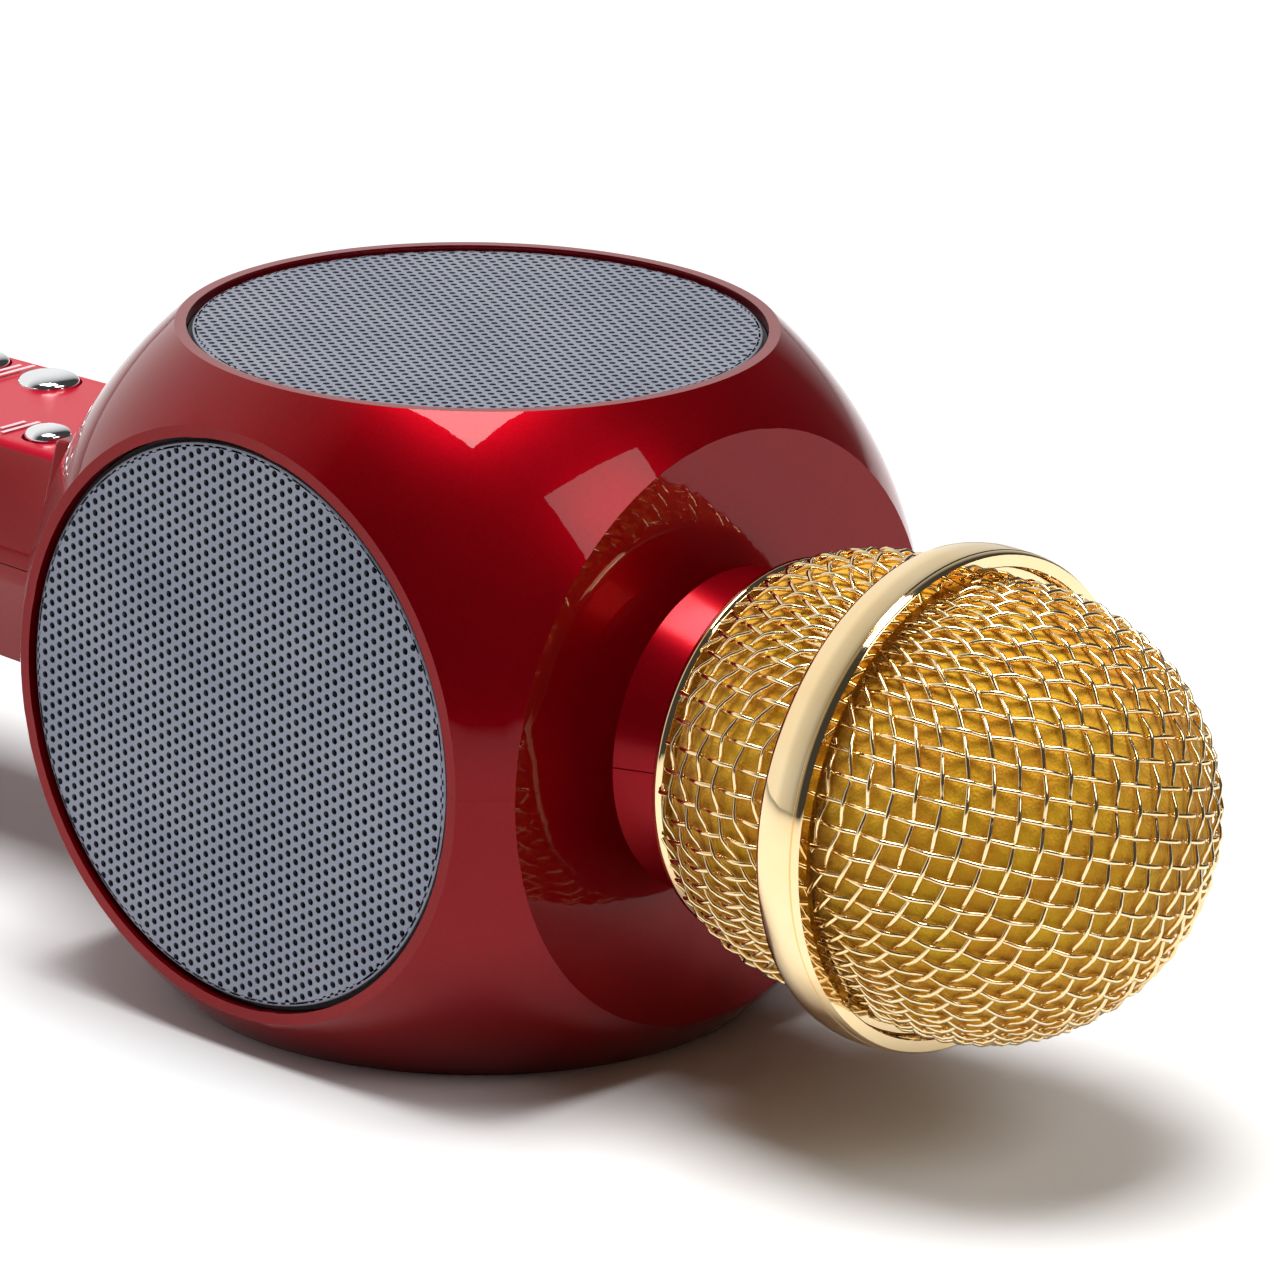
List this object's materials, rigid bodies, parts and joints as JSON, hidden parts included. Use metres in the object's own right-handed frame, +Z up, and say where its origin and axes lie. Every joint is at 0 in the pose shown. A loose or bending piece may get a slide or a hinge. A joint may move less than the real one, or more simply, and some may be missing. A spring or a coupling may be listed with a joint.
{
  "type": "karaoke microphone",
  "caption": "Wireless handheld microphone: gold mesh ball head on a red speaker cube with four round grilles, and a six-sided handle with chrome buttons.",
  "frame": {"origin": "under the middle of the length, in the plane of the cube's bottom face that the microphone lies on", "axes": "+X along the microphone's axis towards the ball head, +Z up out of the control panel and the top grille, +Y to the left"},
  "size_m": [0.2744, 0.082, 0.082],
  "materials": {
    "lacquered_shell": "metallic candy red lacquer under clear coat",
    "lacquered_panel": "bright red satin-gloss lacquer with pale printed marks",
    "grille_steel": "silver-grey stoved paint, perforated",
    "black_foam": "open-cell foam",
    "black_rubber": "satin",
    "button_chrome": "chrome-plated plastic, polished",
    "gold_plate": "polished gold plate",
    "gold_wire": "gold-plated woven wire",
    "yellow_foam": "open-cell foam",
    "zinc": "die-cast, bare",
    "driver_steel": "pressed, zinc-plated",
    "ferrite": "sintered ferrite",
    "copper_coil": "enamelled wire on a former",
    "paper_cone": "pressed pulp",
    "black_plastic": "moulded, fine texture",
    "radiator_plastic": "moulded, fine texture",
    "capsule_metal": "drawn, satin",
    "clear_lens": "clear moulded",
    "silicone": "matt",
    "circuit_board": "solder mask",
    "component_body": "moulded epoxy",
    "battery_wrap": "shrink wrap",
    "socket_steel": "nickel-plated",
    "screw_steel": "black zinc",
    "lead_rubber": "PVC insulation"
  },
  "bodies": {
    "housing": {"audio_jack": "black_plastic", "battery": "battery_wrap", "board_parts": "component_body", "bottom_gasket": "black_foam", "bottom_grille": "grille_steel", "bottom_radiator_frame": "black_plastic", "bottom_surround": "black_rubber", "button_pad": "silicone", "capsule_holder": "black_rubber", "card_socket": "socket_steel", "control_panel": "lacquered_panel", "cube_lower_shell": "lacquered_shell", "cube_upper_shell": "lacquered_shell", "end_cap": "lacquered_shell", "handle_lower_shell": "lacquered_shell", "handle_upper_shell": "lacquered_shell", "inner_leads": "lead_rubber", "left_driver_frame": "driver_steel", "left_gasket": "black_foam", "left_grille": "grille_steel", "left_magnet": "ferrite", "left_surround": "black_rubber", "left_yoke": "driver_steel", "main_board": "circuit_board", "mic_capsule": "capsule_metal", "right_driver_frame": "driver_steel", "right_gasket": "black_foam", "right_grille": "grille_steel", "right_magnet": "ferrite", "right_surround": "black_rubber", "right_yoke": "driver_steel", "shell_screws": "screw_steel", "status_light": "clear_lens", "thread_ring": "zinc", "top_gasket": "black_foam", "top_grille": "grille_steel", "top_radiator_frame": "black_plastic", "top_surround": "black_rubber", "usb_socket": "socket_steel"},
    "power_button": {"power_button": "button_chrome"},
    "mode_button": {"mode_button": "button_chrome"},
    "mic_down_button": {"mic_down_button": "button_chrome"},
    "mic_up_button": {"mic_up_button": "button_chrome"},
    "echo_down_button": {"echo_down_button": "button_chrome"},
    "echo_up_button": {"echo_up_button": "button_chrome"},
    "previous_button": {"previous_button": "button_chrome"},
    "play_button": {"play_button": "button_chrome"},
    "next_button": {"next_button": "button_chrome"},
    "head_washer": {"head_gasket": "black_rubber"},
    "ball_head": {"head_base": "gold_plate", "basket_mesh": "gold_wire", "head_band": "gold_plate", "dome_mesh": "gold_wire", "windscreen": "yellow_foam"},
    "left_cone_and_coil": {"left_cone": "paper_cone", "left_voice_coil": "copper_coil"},
    "right_cone_and_coil": {"right_cone": "paper_cone", "right_voice_coil": "copper_coil"},
    "top_radiator": {"top_radiator_disc": "radiator_plastic"},
    "bottom_radiator": {"bottom_radiator_disc": "radiator_plastic"}
  },
  "joints": [
    {"name": "power_press", "type": "slide", "parent": "housing", "child": "power_button", "axis": [0.0146, 0, -0.9999], "range_m": [0, 0.0005], "stiffness_N_per_m": 900, "springref_m": -0.0004},
    {"name": "mode_press", "type": "slide", "parent": "housing", "child": "mode_button", "axis": [0.0146, 0, -0.9999], "range_m": [0, 0.0005], "stiffness_N_per_m": 900, "springref_m": -0.0004},
    {"name": "mic_down_press", "type": "slide", "parent": "housing", "child": "mic_down_button", "axis": [0.0146, 0, -0.9999], "range_m": [0, 0.0005], "stiffness_N_per_m": 900, "springref_m": -0.0004},
    {"name": "mic_up_press", "type": "slide", "parent": "housing", "child": "mic_up_button", "axis": [0.0146, 0, -0.9999], "range_m": [0, 0.0005], "stiffness_N_per_m": 900, "springref_m": -0.0004},
    {"name": "echo_down_press", "type": "slide", "parent": "housing", "child": "echo_down_button", "axis": [0.0146, 0, -0.9999], "range_m": [0, 0.0005], "stiffness_N_per_m": 900, "springref_m": -0.0004},
    {"name": "echo_up_press", "type": "slide", "parent": "housing", "child": "echo_up_button", "axis": [0.0146, 0, -0.9999], "range_m": [0, 0.0005], "stiffness_N_per_m": 900, "springref_m": -0.0004},
    {"name": "previous_press", "type": "slide", "parent": "housing", "child": "previous_button", "axis": [0.0146, 0, -0.9999], "range_m": [0, 0.0005], "stiffness_N_per_m": 900, "springref_m": -0.0004},
    {"name": "play_press", "type": "slide", "parent": "housing", "child": "play_button", "axis": [0.0146, 0, -0.9999], "range_m": [0, 0.0005], "stiffness_N_per_m": 900, "springref_m": -0.0004},
    {"name": "next_press", "type": "slide", "parent": "housing", "child": "next_button", "axis": [0.0146, 0, -0.9999], "range_m": [0, 0.0005], "stiffness_N_per_m": 900, "springref_m": -0.0004},
    {"name": "head_lift", "type": "slide", "parent": "housing", "child": "head_washer", "axis": [1, 0, 0], "range_m": [0, 0.00685]},
    {"name": "head_turn", "type": "hinge", "parent": "head_washer", "child": "ball_head", "pos_m": [0.0788, 0, 0.041], "axis": [1, 0, 0], "range_deg": [0, 1620]},
    {"name": "left_cone_stroke", "type": "slide", "parent": "housing", "child": "left_cone_and_coil", "axis": [0, 1, 0], "range_m": [-0.001, 0.001], "stiffness_N_per_m": 1200, "deforming": ["left_surround"]},
    {"name": "right_cone_stroke", "type": "slide", "parent": "housing", "child": "right_cone_and_coil", "axis": [0, -1, 0], "range_m": [-0.001, 0.001], "stiffness_N_per_m": 1200, "deforming": ["right_surround"]},
    {"name": "top_radiator_stroke", "type": "slide", "parent": "housing", "child": "top_radiator", "axis": [0, 0, 1], "range_m": [-0.001, 0.001], "stiffness_N_per_m": 900, "deforming": ["top_surround"]},
    {"name": "bottom_radiator_stroke", "type": "slide", "parent": "housing", "child": "bottom_radiator", "axis": [0, 0, -1], "range_m": [-0.001, 0.001], "stiffness_N_per_m": 900, "deforming": ["bottom_surround"]}
  ],
  "couplings": [
    {"joint": "head_lift", "follows": "head_turn", "m_per_rad": 0.00023873}
  ]
}
